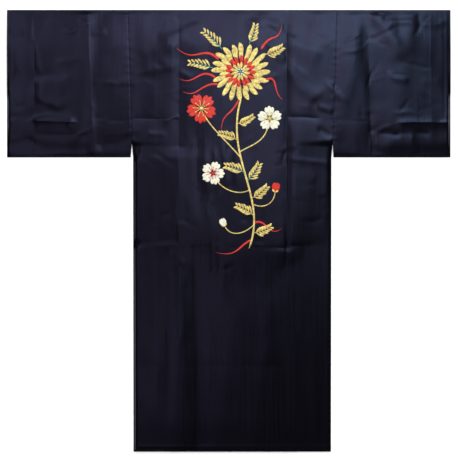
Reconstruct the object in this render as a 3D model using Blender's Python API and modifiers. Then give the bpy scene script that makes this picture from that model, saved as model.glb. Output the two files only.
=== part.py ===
# Yukata laid flat on its front, back upward, with its sleeves spread.
#
# Lengths are in metres. Each piece of cloth is drawn in the garment's own frame: x runs from the
# middle of the back towards the wearer's right, and "down" runs from the shoulder fold to the hem.
# A sheet is drawn at the outer face of the cloth and thickens inwards.

import math

import bmesh
import bpy

NAME = "yukata"

# Sizes of the garment
LENGTH = 1.3255
SHOULDER_HALF = 0.314
UNDERARM_HALF = 0.301
WAIST_HALF = 0.2975
HEM_HALF = 0.296
SLEEVE_DEPTH = 0.4426
ARMHOLE_DEPTH = 0.400
LEFT_REACH = 0.67575
RIGHT_REACH = 0.65475
LEFT_SLEEVE_FOOT = 0.305
RIGHT_SLEEVE_FOOT = 0.304

# Neck, collar band and overlap panels
NECK_HALF = 0.090
COLLAR_WIDTH = 0.055
COLLAR_END_DOWN = 0.640
COLLAR_END_PAST_MIDDLE = 0.035
COLLAR_BEND = 1.25
COLLAR_STEP = 0.040
OKUMI_TIP = 5 * COLLAR_STEP
OKUMI_BLUNT = 0.010
OKUMI_EDGE = COLLAR_END_PAST_MIDDLE + COLLAR_WIDTH

# Cloth and the way its layers lie
CLOTH = 0.0010
SEAM_GAP = 0.0003
LAYER = CLOTH + SEAM_GAP
HALF_GAP = SEAM_GAP / 2

# Where the wearer's right front climbs over the left one, and where the back is level above both
LAP_CLIMB_START = 0.120
LAP_CLIMB_END = 0.200
LAP_REACH = 0.105
LAP_FALL = 0.060
BACK_CLIMB_START = 0.060
BACK_CLIMB_END = 0.115
BACK_LEVEL_HALF = 0.175
BACK_LEVEL_END = 0.225

# Spacing of the cloth's stations
BACK_SPACING = 0.028
SLEEVE_SPACING = 0.028
FRONT_SPACING = 0.080
NECK_STEPS = 4
FOLD_STEPS = 6
NEAREST = 0.006

# Stations nearer the armhole seam than these lean with it
STEADY_INSIDE = 0.230
STEADY_OUTSIDE = 0.360

# Dark navy satin
SATIN_COLOUR = (0.012, 0.011, 0.022)
SATIN_ROUGHNESS = 0.38

# How far from a sewn edge the creases reach their height
EDGE_EASE = 0.035
TOP_EASE = 0.020

# Creases left by the garment's folding, and the largest drags of the cloth, on the upper layers.
# Each row: start across, start down, end across, end down, height, reach before it, reach after it.
# Before is the wearer's left of a crease that runs down, and above one that runs across.
CREASES = (
    (-0.158, 0.000, -0.158, 0.711, 0.0045, 0.034, 0.030),
    (-0.100, 0.711, -0.100, 1.330, 0.0050, 0.030, 0.044),
    (0.160, 0.000, 0.160, 1.330, 0.0060, 0.040, 0.022),
    (-0.593, 0.000, -0.593, 0.445, 0.0045, 0.026, 0.034),
    (-0.434, 0.000, -0.409, 0.445, 0.0050, 0.034, 0.026),
    (0.413, 0.000, 0.422, 0.445, 0.0050, 0.034, 0.028),
    (0.596, 0.000, 0.596, 0.445, 0.0030, 0.026, 0.026),
    (-0.680, 0.324, 0.660, 0.324, 0.0060, 0.034, 0.028),
    (-0.300, 0.707, 0.300, 0.707, 0.0050, 0.036, 0.030),
    (-0.300, 1.066, 0.300, 1.066, 0.0040, 0.036, 0.036),
    (-0.268, 0.126, -0.103, 0.045, 0.0040, 0.026, 0.026),
    (0.113, 0.075, 0.254, 0.255, 0.0055, 0.030, 0.030),
    (0.419, 0.021, 0.500, 0.125, 0.0040, 0.030, 0.030),
    (-0.592, 0.222, -0.481, 0.200, 0.0040, 0.024, 0.030),
)


def clear_scene():
    for old in list(bpy.data.objects):
        bpy.data.objects.remove(old, do_unlink=True)


def smooth(value):
    value = min(max(value, 0.0), 1.0)
    return value * value * (3.0 - 2.0 * value)


def blend(first, last, share):
    return first + (last - first) * share


# Outline of the body and of the collar seam


def body_half(down):
    """Half the body's width at this distance below the shoulder."""
    if down <= ARMHOLE_DEPTH:
        return blend(SHOULDER_HALF, UNDERARM_HALF, down / ARMHOLE_DEPTH)
    if down <= SLEEVE_DEPTH:
        return blend(UNDERARM_HALF, WAIST_HALF, (down - ARMHOLE_DEPTH) / (SLEEVE_DEPTH - ARMHOLE_DEPTH))
    return blend(WAIST_HALF, HEM_HALF, (down - SLEEVE_DEPTH) / (LENGTH - SLEEVE_DEPTH))


def sleeve_start(down, foot):
    """Where the sleeve's inner edge lies: on the armhole seam, then free of the body."""
    if down <= ARMHOLE_DEPTH:
        return body_half(down) + SEAM_GAP
    free = (down - ARMHOLE_DEPTH) / (SLEEVE_DEPTH - ARMHOLE_DEPTH)
    return blend(UNDERARM_HALF + SEAM_GAP, foot, free)


def collar_curve(down):
    """Distance of the collar seam from the middle, towards its own side."""
    travel = NECK_HALF + COLLAR_END_PAST_MIDDLE
    return NECK_HALF - travel * (down / COLLAR_END_DOWN) ** COLLAR_BEND


def collar_seam(down):
    """The same seam with straight stretches of one step, which every piece on it shares."""
    step = min(math.floor(down / COLLAR_STEP), round(COLLAR_END_DOWN / COLLAR_STEP) - 1)
    share = down / COLLAR_STEP - step
    return blend(collar_curve(step * COLLAR_STEP), collar_curve((step + 1) * COLLAR_STEP), share)


def collar_steps(start, end):
    """Places between start and end where the collar seam bends."""
    every = [step * COLLAR_STEP for step in range(round(COLLAR_END_DOWN / COLLAR_STEP) + 1)]
    return [place for place in every if start <= place <= end]


# Heights of the layers


def crease_height(across, down):
    """Height of the tallest crease at a place on the upper layer."""
    tallest = 0.0
    for start_x, start_y, end_x, end_y, height, reach_before, reach_after in CREASES:
        run_x = end_x - start_x
        run_y = end_y - start_y
        length = math.hypot(run_x, run_y)
        along = ((across - start_x) * run_x + (down - start_y) * run_y) / length
        aside = ((across - start_x) * run_y - (down - start_y) * run_x) / length
        if run_x > run_y:
            aside = -aside
        reach = reach_after if aside > 0 else reach_before
        past = max(-along, along - length, 0.0)
        share = 1.0 - math.hypot(aside, past) / reach
        tallest = max(tallest, height * smooth(share))
    return tallest


def body_crease(across, down):
    """Creases of the back, which die away at the shoulder and at the side seams."""
    side = body_half(down) - abs(across)
    seam_share = smooth((down - ARMHOLE_DEPTH) / EDGE_EASE)
    side_ease = blend(1.0, smooth(side / EDGE_EASE), seam_share)
    return crease_height(across, down) * smooth(down / TOP_EASE) * side_ease


def sleeve_crease(across, down, reach):
    """Creases of a sleeve, which die away at its fold, its cuff and its sewn foot."""
    cuff_ease = smooth((reach - abs(across)) / EDGE_EASE)
    foot_ease = smooth((SLEEVE_DEPTH - down) / EDGE_EASE)
    return crease_height(across, down) * smooth(down / TOP_EASE) * cuff_ease * foot_ease


def lap_height(across, down):
    """How far the wearer's right front is lifted by the left front under it."""
    reached = 1.0 - smooth((across - LAP_REACH) / LAP_FALL)
    climbed = smooth((down - LAP_CLIMB_START) / (LAP_CLIMB_END - LAP_CLIMB_START))
    return LAYER * reached * climbed


def back_height(across, down):
    """Outer face of the back: over one layer at the edges and over two in the middle."""
    inside = 1.0 - smooth((abs(across) - BACK_LEVEL_HALF) / (BACK_LEVEL_END - BACK_LEVEL_HALF))
    climbed = smooth((down - BACK_CLIMB_START) / (BACK_CLIMB_END - BACK_CLIMB_START))
    return LAYER + CLOTH + LAYER * inside * climbed + body_crease(across, down)


# Stations and sheets


def stations(start, end, marks, spacing):
    """Sorted places from start to end that hold every mark and leave no gap wider than spacing."""
    places = [start]
    wanted = sorted(mark for mark in marks if start + NEAREST < mark < end - NEAREST)
    for place in wanted + [end]:
        if place - places[-1] < NEAREST:
            continue
        first = places[-1]
        steps = math.ceil((place - first) / spacing)
        places += [blend(first, place, step / steps) for step in range(1, steps + 1)]
    return places


def crease_marks(running_down):
    """Places where creases that run down, or those that run across, have their line and their feet."""
    marks = []
    for start_x, start_y, end_x, end_y, _height, reach_before, reach_after in CREASES:
        run_x = abs(end_x - start_x)
        run_y = abs(end_y - start_y)
        if min(run_x, run_y) > max(run_x, run_y) / 10:
            continue
        if (run_y > run_x) != running_down:
            continue
        line = (start_x + end_x) / 2 if running_down else start_y
        marks += [line - reach_before, line - reach_before / 2, line]
        marks += [line + reach_after / 2, line + reach_after]
    return marks


def satin(name, shade):
    """Dark satin, a little lighter or darker from piece to piece."""
    material = bpy.data.materials.new(name)
    material.use_nodes = True
    surface = material.node_tree.nodes["Principled BSDF"]
    colour = [channel * shade for channel in SATIN_COLOUR]
    surface.inputs["Base Color"].default_value = (*colour, 1.0)
    surface.inputs["Roughness"].default_value = SATIN_ROUGHNESS
    surface.inputs["Metallic"].default_value = 0.0
    material.diffuse_color = surface.inputs["Base Color"].default_value
    return material


def sheet(name, rows, columns, place, faces_up, shade):
    """A grid of cloth of this many rows and columns of points, each put where place says."""
    mesh = bpy.data.meshes.new(name)
    grid = bmesh.new()
    bmesh.ops.create_grid(grid, x_segments=columns - 1, y_segments=rows - 1, size=1.0)
    for point in grid.verts:
        column = round((point.co.x + 1.0) / 2.0 * (columns - 1))
        row = round((1.0 - point.co.y) / 2.0 * (rows - 1))
        across, down, height = place(row, column)
        point.co = (across, -down, height)
    bmesh.ops.triangulate(grid, faces=grid.faces)
    grid.normal_update()
    highest = max(grid.faces, key=lambda face: face.calc_center_median().z)
    if (highest.normal.z > 0) != faces_up:
        bmesh.ops.reverse_faces(grid, faces=grid.faces)
    grid.to_mesh(mesh)
    grid.free()
    mesh.materials.append(satin(f"satin of {name}", shade))
    mesh.shade_smooth()
    cloth = bpy.data.objects.new(name, mesh)
    thickness = cloth.modifiers.new("cloth thickness", "SOLIDIFY")
    thickness.thickness = CLOTH
    thickness.offset = -1.0
    thickness.use_even_offset = True
    return cloth


# Pieces


def body_across(station, down):
    """A station near the side leans with the seam, and one further in stays where it is."""
    outside = abs(station) - STEADY_INSIDE
    if outside <= 0:
        return station
    lean = (body_half(down) - STEADY_INSIDE) / (SHOULDER_HALF - STEADY_INSIDE)
    return math.copysign(STEADY_INSIDE + outside * lean, station)


def make_back():
    """The back, in one width, up to the shoulder fold and out to both armhole and side seams."""
    marks = crease_marks(running_down=True)
    marks += [-BACK_LEVEL_END, -BACK_LEVEL_HALF, BACK_LEVEL_HALF, BACK_LEVEL_END]
    columns = stations(-SHOULDER_HALF, SHOULDER_HALF, marks, BACK_SPACING)
    marks = crease_marks(running_down=False)
    marks += [TOP_EASE, BACK_CLIMB_START, BACK_CLIMB_END, ARMHOLE_DEPTH, SLEEVE_DEPTH]
    rows = stations(0.0, LENGTH, marks, BACK_SPACING)

    def place(row, column):
        across = body_across(columns[column], rows[row])
        return across, rows[row], back_height(across, rows[row])

    return sheet("back", len(rows), len(columns), place, True, 1.0)


def front_inner_edge(down):
    """Inner edge of a front: the collar seam, then the seam of the overlap panel."""
    return collar_seam(min(down, OKUMI_TIP)) + HALF_GAP


def make_front(name, side, shade):
    """A front, from the side seam to the collar seam and the overlap panel's seam."""
    marks = (LAP_REACH, LAP_REACH + LAP_FALL / 2, LAP_REACH + LAP_FALL, STEADY_INSIDE)
    columns = stations(NECK_HALF, SHOULDER_HALF, marks, FRONT_SPACING)
    marks = collar_steps(0.0, OKUMI_TIP) + [ARMHOLE_DEPTH, SLEEVE_DEPTH]
    rows = stations(0.0, LENGTH, marks, FRONT_SPACING)

    def place(row, column):
        down = rows[row]
        across = body_across(columns[column], down)
        if column == 0:
            across = front_inner_edge(down)
        height = lap_height(across, down) if side > 0 else 0.0
        return side * across, down, height

    return sheet(name, len(rows), len(columns), place, False, shade)


def make_okumi(name, side, shade):
    """An overlap panel: a point on the collar seam, widening to its free edge below the collar."""
    top = OKUMI_TIP + OKUMI_BLUNT
    under_collar = COLLAR_END_DOWN + SEAM_GAP
    rows = stations(top, under_collar, collar_steps(top, COLLAR_END_DOWN), FRONT_SPACING)
    rows += stations(under_collar + SEAM_GAP, LENGTH, (), FRONT_SPACING)
    columns = 4

    def place(row, column):
        down = rows[row]
        seam = collar_seam(OKUMI_TIP) - HALF_GAP
        edge = -OKUMI_EDGE
        if down <= under_collar:
            edge = collar_seam(min(down, COLLAR_END_DOWN)) + HALF_GAP
        across = blend(edge, seam, column / (columns - 1))
        height = LAYER if side > 0 else 0.0
        return side * across, down, height

    return sheet(name, len(rows), columns, place, False, shade)


def make_collar():
    """One band from the left overlap panel, round the back of the neck, to the right one."""
    branch = collar_steps(0.0, COLLAR_END_DOWN)
    rows = [(-1.0, down) for down in reversed(branch)]
    rows += [(blend(-1.0, 1.0, step / NECK_STEPS), 0.0) for step in range(1, NECK_STEPS)]
    rows += [(1.0, down) for down in branch]
    columns = 3

    def place(row, column):
        side, down = rows[row]
        inner_down = blend(COLLAR_WIDTH, COLLAR_END_DOWN, down / COLLAR_END_DOWN)
        outer = collar_seam(down) - HALF_GAP
        inner = collar_seam(inner_down) - COLLAR_WIDTH
        width_share = column / (columns - 1)
        across = side * blend(outer, inner, width_share)
        here = blend(down, inner_down, width_share)
        height = lap_height(across, here) if side > 0 else 0.0
        return across, here, height

    return sheet("collar", len(rows), columns, place, False, 1.1)


def make_sleeve(name, side, reach, foot, shade):
    """A sleeve: one length folded at the shoulder line and sewn along its foot and lower cuff."""
    lines = [abs(mark) for mark in crease_marks(running_down=True) if mark * side > SHOULDER_HALF]
    columns = stations(SHOULDER_HALF, reach, lines + [STEADY_OUTSIDE, reach - EDGE_EASE], SLEEVE_SPACING)
    marks = crease_marks(running_down=False)
    marks += [TOP_EASE, ARMHOLE_DEPTH, SLEEVE_DEPTH - EDGE_EASE / 2]
    radius = (LAYER + CLOTH) / 2
    upper = stations(radius, SLEEVE_DEPTH, marks, SLEEVE_SPACING)
    lower = stations(radius, SLEEVE_DEPTH, (ARMHOLE_DEPTH,), FRONT_SPACING)
    rows = [(down, 2 * radius, True) for down in reversed(upper)]
    for step in range(1, FOLD_STEPS):
        turn = math.pi * step / FOLD_STEPS
        rows.append((radius - radius * math.sin(turn), radius + radius * math.cos(turn), False))
    rows += [(down, 0.0, False) for down in lower]

    def place(row, column):
        down, height, raised = rows[row]
        start = sleeve_start(down, foot)
        across = columns[column]
        if across < STEADY_OUTSIDE:
            share = (across - SHOULDER_HALF) / (STEADY_OUTSIDE - SHOULDER_HALF)
            across = blend(start, STEADY_OUTSIDE, share)
        if raised:
            height += sleeve_crease(side * across, down, reach)
        return side * across, down, height

    return sheet(name, len(rows), len(columns), place, True, shade)


def main():
    clear_scene()
    collection = bpy.data.collections.new(NAME)
    bpy.context.scene.collection.children.link(collection)
    garment = bpy.data.objects.new("shoulder point", None)
    garment.location = ((LEFT_REACH - RIGHT_REACH) / 2, LENGTH / 2, 0.0)
    collection.objects.link(garment)
    pieces = (
        make_back(),
        make_front("front_left", -1, 1.2),
        make_front("front_right", 1, 0.9),
        make_okumi("okumi_left", -1, 1.3),
        make_okumi("okumi_right", 1, 0.8),
        make_collar(),
        make_sleeve("sleeve_left", -1, LEFT_REACH, LEFT_SLEEVE_FOOT, 1.1),
        make_sleeve("sleeve_right", 1, RIGHT_REACH, RIGHT_SLEEVE_FOOT, 1.2),
    )
    for piece in pieces:
        collection.objects.link(piece)
        piece.parent = garment


main()
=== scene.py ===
import functools
import math

import bmesh
import bpy
import numpy as np
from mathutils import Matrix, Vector


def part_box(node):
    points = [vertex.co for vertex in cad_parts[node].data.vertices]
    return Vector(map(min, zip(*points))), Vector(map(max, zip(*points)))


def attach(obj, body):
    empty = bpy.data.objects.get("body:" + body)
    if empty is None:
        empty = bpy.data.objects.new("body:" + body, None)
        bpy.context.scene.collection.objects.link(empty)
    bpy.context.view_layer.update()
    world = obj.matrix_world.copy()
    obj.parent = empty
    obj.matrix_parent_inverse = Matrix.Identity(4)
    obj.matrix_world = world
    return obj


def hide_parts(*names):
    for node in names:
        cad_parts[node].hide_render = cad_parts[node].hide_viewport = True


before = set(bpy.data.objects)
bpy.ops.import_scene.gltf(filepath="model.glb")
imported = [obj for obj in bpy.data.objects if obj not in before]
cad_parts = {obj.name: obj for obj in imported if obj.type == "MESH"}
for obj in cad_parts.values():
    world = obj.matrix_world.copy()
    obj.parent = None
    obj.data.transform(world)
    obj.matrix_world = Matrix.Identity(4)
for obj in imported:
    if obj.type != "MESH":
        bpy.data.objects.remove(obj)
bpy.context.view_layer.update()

# Everything is in metres. "across" runs from the middle of the back to the wearer's right,
# "down" runs from the shoulder fold to the hem, and height is above the surface.

backLow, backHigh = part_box("back")
leftLow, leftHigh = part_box("sleeve_left")
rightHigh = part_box("sleeve_right")[1]

garment = {
    "middle": (backLow[0] + backHigh[0]) / 2,
    "shoulder": backHigh[1],
    "length": backHigh[1] - backLow[1],
    "shoulderHalf": (backHigh[0] - backLow[0]) / 2,
    "underarmHalf": 0.301,
    "waistHalf": 0.2975,
    "hemHalf": 0.296,
    "armhole": 0.400,
    "sleeveDepth": leftHigh[1] - leftLow[1],
    "wristOpening": 0.245,
    "hem": 0.020,
    "upperFold": 0.327,   # folds pressed across all layers when the garment was folded up
    "lowerFold": 0.710,
    "hemFold": 1.070,
    "sideFold": 0.163,    # folds pressed down the body and the sleeves, from the middle
    "sleeveFold": 0.420,
    "cloth": 0.0005,
    "seamGap": 0.0003,
    "layer": 0.0013,      # one layer of the frame's cloth with the gap above it
    "edgeTop": 0.0023,    # outer face of the upper layer at a seam
    "pinched": 0.0012,    # the same where both layers are sewn together
}
garment["leftReach"] = garment["middle"] - leftLow[0]
garment["rightReach"] = rightHigh[0] - garment["middle"]

print("frame loaded:", sorted(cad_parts))


# Small helpers for shapes

def smooth(value):
    value = np.clip(value, 0.0, 1.0)
    return value * value * (3.0 - 2.0 * value)


def blend(first, last, share):
    return first + (last - first) * share


def inside(place, start, end, ease, early=0.0):
    # 1 between start and end and 0 outside, with eased ends
    return smooth((place - start) / ease + early) * smooth((end - place) / ease + early)


def stations(start, end, marks, spacing, nearest=0.0012):
    # places from start to end that hold the marks and leave no gap wider than spacing
    places = [start]
    marks = sorted(mark for mark in marks if start + nearest < mark < end - nearest)
    for place in marks + [end]:
        first = places[-1]
        if place - first < nearest:
            continue
        steps = math.ceil((place - first) / spacing - 1e-6)
        places += [blend(first, place, step / steps) for step in range(1, steps + 1)]
    return np.array(places)


def around(line, reach=0.006, step=0.0015):
    # close stations on both sides of a pressed crease
    count = round(reach / step)
    return [line + step * number for number in range(-count, count + 1)]


def bodyHalf(down):
    # half the width of the body
    sizes = garment
    places = [0.0, sizes["armhole"], sizes["sleeveDepth"], sizes["length"]]
    halves = [sizes["shoulderHalf"], sizes["underarmHalf"], sizes["waistHalf"], sizes["hemHalf"]]
    return np.interp(down, places, halves)


# Creases and folds of the upper layers, in millimetres.
# Each row: start across, start down, end across, end down, height, width before, width after, ease.
# Before is the wearer's left of one that runs down, and above one that runs across.

pressedCreases = [
    # left sleeve, running down
    (-593, 0, -593, 445, -1.3, 12, 34, 10),
    (-434, 4, -424, 250, 2.4, 24, 12, 10),
    (-424, 250, -413, 445, 2.6, 26, 12, 10),
    # left sleeve, running across
    (-676, 318, -596, 326, -1.3, 12, 12, 10),
    (-592, 333, -475, 336, 3.4, 10, 10, 34),
    (-592, 374, -440, 378, -1.2, 10, 10, 20),
    (-418, 324, -318, 336, -1.4, 14, 12, 20),
    # back, running down
    (-160, 0, -160, 415, -2.2, 18, 14, 10),
    (-163, 430, -163, 722, 3.6, 110, 70, 40),
    (163, 0, 163, 720, -3.6, 24, 8, 12),
    (163, 720, 163, 1330, -0.7, 8, 6, 12),
    # back, running across
    (-300, 326, -165, 328, -1.3, 8, 10, 20),
    (-205, 336, -160, 320, 2, 6, 6, 12),
    (-256, 372, -202, 374, 1.8, 6, 8, 14),
    (170, 321, 262, 325, -2.4, 10, 12, 20),
    (258, 394, 300, 390, 1.8, 6, 8, 12),
    (169, 446, 296, 460, 1.6, 5, 12, 14),
    (-160, 712, 160, 712, -0.8, 10, 24, 20),
    (160, 708, 298, 710, -4.2, 18, 24, 14),
    (-298, 1066, 150, 1070, -0.6, 12, 12, 20),
    (150, 1066, 298, 1078, -1, 12, 10, 14),
    # right sleeve, running down
    (408, 30, 413, 310, -0.9, 16, 14, 50),
    (413, 310, 420, 445, -2, 14, 14, 20),
    (596, 10, 596, 445, 0.3, 8, 12, 10),
    # right sleeve, running across
    (412, 362, 500, 378, -1.8, 12, 8, 20),
    (500, 338, 654, 338, 3.6, 12, 12, 30),
    (312, 330, 400, 336, -0.8, 12, 12, 20),
]

softFolds = [
    # left sleeve
    (-584, 96, -576, 186, 2.4, 18, 26, 40),
    (-592, 224, -470, 204, 1.6, 12, 34, 40),
    (-600, 252, -500, 300, 1.6, 30, 12, 40),
    (-600, 312, -500, 312, -2.6, 20, 10, 50),
    (-560, 38, -500, 36, 1, 12, 14, 20),
    (-665, 66, -630, 66, 1, 12, 12, 16),
    (-422, 64, -380, 66, 1, 12, 12, 16),
    (-670, 410, -596, 396, -2.2, 14, 18, 20),
    (-400, 412, -312, 384, -2.4, 14, 18, 20),
    (-590, 420, -430, 424, -2, 20, 10, 30),
    # upper back, wearer's left
    (-270, 134, -170, 110, 2.4, 18, 48, 30),
    (-266, 190, -166, 166, 2, 26, 13, 40),
    (-206, 96, -96, 44, 2.7, 18, 42, 40),
    (-160, 186, -120, 200, 1.4, 8, 10, 14),
    # upper back, wearer's right
    (50, 40, 160, 40, 2.2, 16, 20, 40),
    (120, 56, 262, 140, 2, 18, 42, 40),
    (108, 100, 160, 160, 2.4, 14, 18, 30),
    (158, 170, 248, 268, 3, 22, 30, 30),
    (248, 268, 304, 228, 2.6, 20, 40, 24),
    (256, 290, 298, 306, 1.8, 8, 10, 14),
    (258, 360, 298, 374, -1.8, 10, 10, 14),
    # soft puckers under the embroidery
    (-82, 400, -66, 640, 1.4, 10, 10, 60),
    (-52, 420, -42, 560, 1.4, 9, 9, 50),
    (-28, 400, -16, 540, 1.4, 9, 10, 50),
    (-106, 380, -100, 600, -1.3, 11, 11, 60),
    (12, 420, 14, 520, 1.1, 9, 9, 40),
    (62, 560, 66, 700, 1.2, 12, 12, 50),
    (-60, 690, -54, 780, -1.4, 10, 10, 40),
    # right sleeve
    (384, 40, 338, 300, 1.8, 30, 24, 60),
    (392, 40, 432, 290, -2, 22, 34, 60),
    (430, 10, 506, 140, 3.6, 20, 26, 40),
    (468, 196, 524, 214, 1.8, 9, 10, 20),
    (570, 212, 620, 218, 0.6, 12, 12, 20),
    (470, 36, 640, 42, 1.6, 10, 12, 30),
    (540, 372, 545, 430, 1.2, 8, 8, 20),
    (420, 404, 654, 400, 3, 30, 24, 30),
    # middle and lower back
    (-30, 740, -26, 860, 1.6, 30, 30, 50),
    (104, 780, 110, 1050, 1.4, 26, 16, 60),
    (-156, 740, -150, 1000, 1.4, 14, 16, 60),
    (224, 480, 226, 640, 1.6, 26, 26, 50),
    (270, 560, 290, 600, -1.2, 14, 14, 20),
]

# Long steps of the lower back: the cloth to the wearer's right of each line lies lower.
# The same columns; the ease is the length over which a step grows at its start.
terraces = [
    (-116, 700, -112, 1330, -7.8, 42, 8, 150),
    (153, 690, 154, 1330, -5, 32, 6, 120),
]

# Panels between two creases that lie at a slant.
# Each row: from across, to across, from down, to down, rise on the way across, rise on the way down.
slants = [
    (0.166, 0.290, 0.715, 1.330, -0.0044, 0.0),
    (-0.290, -0.165, 0.440, 0.700, 0.0, -0.0022),
    (0.420, 0.650, 0.345, 0.440, 0.0, -0.0030),
]

# Long uneven swells of the whole cloth: waves across and down in a metre, phase, height.
swells = [
    (2.7, 1.3, 0.4, 0.00055),
    (-4.1, 2.2, 1.9, 0.00045),
    (6.9, 0.8, 3.3, 0.00040),
    (1.4, -5.2, 5.1, 0.00035),
    (11.3, 1.9, 0.9, 0.00022),
    (-9.2, 6.4, 2.6, 0.00020),
    (17.6, 2.7, 4.4, 0.00012),
]


def inMetres(rows):
    return [tuple(size / 1000 for size in row) for row in rows]


pressedCreases, softFolds, terraces = (inMetres(rows) for rows in (pressedCreases, softFolds, terraces))


def lineFrame(row, across, down):
    # distance along a row's line, distance aside and the line's length
    startX, startY, endX, endY = row[:4]
    runX, runY = endX - startX, endY - startY
    length = math.hypot(runX, runY)
    along = ((across - startX) * runX + (down - startY) * runY) / length
    aside = ((across - startX) * runY - (down - startY) * runX) / length
    if abs(runX) > abs(runY):
        aside = -aside
    return along, aside, length


waviness = {
    "sharpSway": 0.0004,   # how far a pressed crease strays from its line
    "softSway": 0.0022,
    # two waves along a line: radians in a metre, shift from one row to the next, share
    "sway": [(47.0, 1.7, 1.0), (113.0, 2.9, 0.6)],
    "heightSway": [(36.0, 2.3, 0.22), (91.0, 1.0, 0.12)],
    "narrow": 0.008,       # creases wider than this stay more even in height
    "crest": 0.0010,       # roundness of a pressed crest
    # how far the long steps stray, and radians in a metre
    "longStep": (0.0030, 11.0),
    "shortStep": (0.0012, 29.0),
    "stepShift": 40.0,     # times the height of a step, so that both differ
}


def wavesAlong(waves, along, number):
    # sum of the waves at places along the line of a numbered row
    return sum(share * np.sin(along * turn + shift * number) for turn, shift, share in waves)


def creaseField(rows, across, down, sharp):
    # sum of the rows' ridges and troughs, with pointed crests where sharp
    field = np.zeros(np.broadcast(across, down).shape)
    sway = waviness["sharpSway"] if sharp else waviness["softSway"]
    crest = waviness["crest"]
    for number, row in enumerate(rows):
        height, before, after, ease = row[4:]
        along, aside, length = lineFrame(row, across, down)
        aside = aside + sway * wavesAlong(waviness["sway"], along, number)
        uneven = waviness["narrow"] / max(before, after, waviness["narrow"])
        height = height * (1.0 + uneven * wavesAlong(waviness["heightSway"], along, number))
        width = np.where(aside > 0, after, before)
        if sharp:
            profile = np.exp(-(np.sqrt(aside ** 2 + crest ** 2) - crest) / width)
        else:
            profile = np.exp(-(aside / width) ** 2)
        field += height * profile * inside(along, 0.0, length, ease, 0.5)
    return field


def terraceField(across, down):
    # each step is as steep on both sides of its line and eases out before and after it
    field = 0.0
    longSway, longTurn = waviness["longStep"]
    shortSway, shortTurn = waviness["shortStep"]
    for row in terraces:
        drop, before, after, ease = row[4:]
        along, aside = lineFrame(row, across, down)[:2]
        aside = aside + longSway * np.sin(along * longTurn + waviness["stepShift"] * drop)
        aside = aside + shortSway * np.sin(along * shortTurn)
        upTo = before / (before + after) * np.exp(np.minimum(aside, 0.0) / before)
        beyond = 1.0 - after / (before + after) * np.exp(-np.maximum(aside, 0.0) / after)
        field = field + drop * np.where(aside < 0.0, upTo, beyond) * smooth(along / ease)
    return field


def slantField(across, down):
    # the slanting panels: each is level outside its own stretch and eased at its ends
    field = 0.0
    easeAcross, easeDown = 0.012, 0.020
    for left, right, top, foot, riseAcross, riseDown in slants:
        over = np.clip((across - left) / (right - left), 0.0, 1.0)
        under = np.clip((down - top) / (foot - top), 0.0, 1.0)
        panel = inside(across, left, right, easeAcross, 0.5) * inside(down, top, foot, easeDown, 0.5)
        field = field + (riseAcross * over + riseDown * under) * panel
    return field


def swellField(across, down):
    field = 0.0
    for wavesAcross, wavesDown, phase, height in swells:
        turn = 2 * math.pi * (wavesAcross * across + wavesDown * down) + phase
        field = field + height * np.sin(turn)
    return field


crinkle = {
    "widths": (0.0035, 0.0085),
    "lengths": (0.020, 0.075),
    "steepness": 0.16,     # height over width
    "turn": 0.7,           # spread of their directions, in radians
    "ease": 0.6,           # share of the length over which they grow and fade
    # how many, from how far down to how far down, seed
    "areas": [(170, 0.02, 0.46, 7), (30, 0.46, 0.80, 11)],
}


def makeCrinkles(count, top, foot, seed):
    # small crinkles of the satin, most of them near the shoulders, where it was packed tightest
    chance = np.random.default_rng(seed)
    rows = []
    while len(rows) < count:
        across = chance.uniform(-garment["leftReach"], garment["rightReach"])
        down = chance.uniform(top, foot)
        if abs(across) > garment["underarmHalf"] and down > garment["sleeveDepth"]:
            continue
        turn = chance.normal(0.0, crinkle["turn"])
        length = chance.uniform(*crinkle["lengths"])
        width = chance.uniform(*crinkle["widths"])
        height = chance.uniform(-1.0, 1.0) * crinkle["steepness"] * width
        runX, runY = length * math.cos(turn), length * math.sin(turn)
        ease = crinkle["ease"] * length
        rows.append((across, down, across + runX, down + runY, height, width, width, ease))
    return rows


crinkles = [row for area in crinkle["areas"] for row in makeCrinkles(*area)]


def rollAndRise(distance, roll, rollShare, rise):
    # a short roll beside an edge and a slow rise behind it, as a share of the full height
    return rollShare * smooth(distance / roll) + (1.0 - rollShare) * smooth(distance / rise)


# How the upper cloth rises behind its held edges: length of the short roll, its share, slow rise.
rises = {
    "shoulder": (0.016, 0.12, 0.120),
    "hem": (0.012, 0.80, 0.100),
    "rightSide": (0.020, 0.35, 0.130),
    "leftSide": (0.030, 0.60, 0.130),
    "hollowSide": (0.012, 0.95, 0.130),    # left side between both folds across
    "lowerSide": (0.008, 0.92, 0.130),     # left side below them
    "sleeveFoot": (0.012, 0.25, 0.120),
    "cuff": (0.006, 0.80, 0.130),
}
air = {
    "upper": 0.0068,       # highest stand of the upper cloth above the layers under it
    "lower": 0.0104,
    "start": 0.010,        # where it starts to grow, above the lower fold
    "growth": 0.250,       # length over which it grows
    "calm": 0.35,          # share of the swells that is left there
    "calming": 0.060,
    "softness": 0.0012,    # how gently the folds settle on the layers under them
}


def upperFolds(across, down, rise, held):
    # how high the upper cloth stands above the layers under it
    below = down - garment["lowerFold"] + air["start"]
    stand = blend(air["upper"], air["lower"], smooth(below / air["growth"]))
    folds = creaseField(pressedCreases, across, down, True) + creaseField(softFolds, across, down, False)
    folds = folds + creaseField(crinkles, across, down, False) + slantField(across, down)
    folds = folds + terraceField(across, down)
    calm = blend(1.0, air["calm"], smooth(below / air["calming"]))
    height = stand * rise + (folds + swellField(across, down) * calm) * held
    return (height + np.sqrt(height ** 2 + air["softness"] ** 2)) / 2 * held


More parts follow.
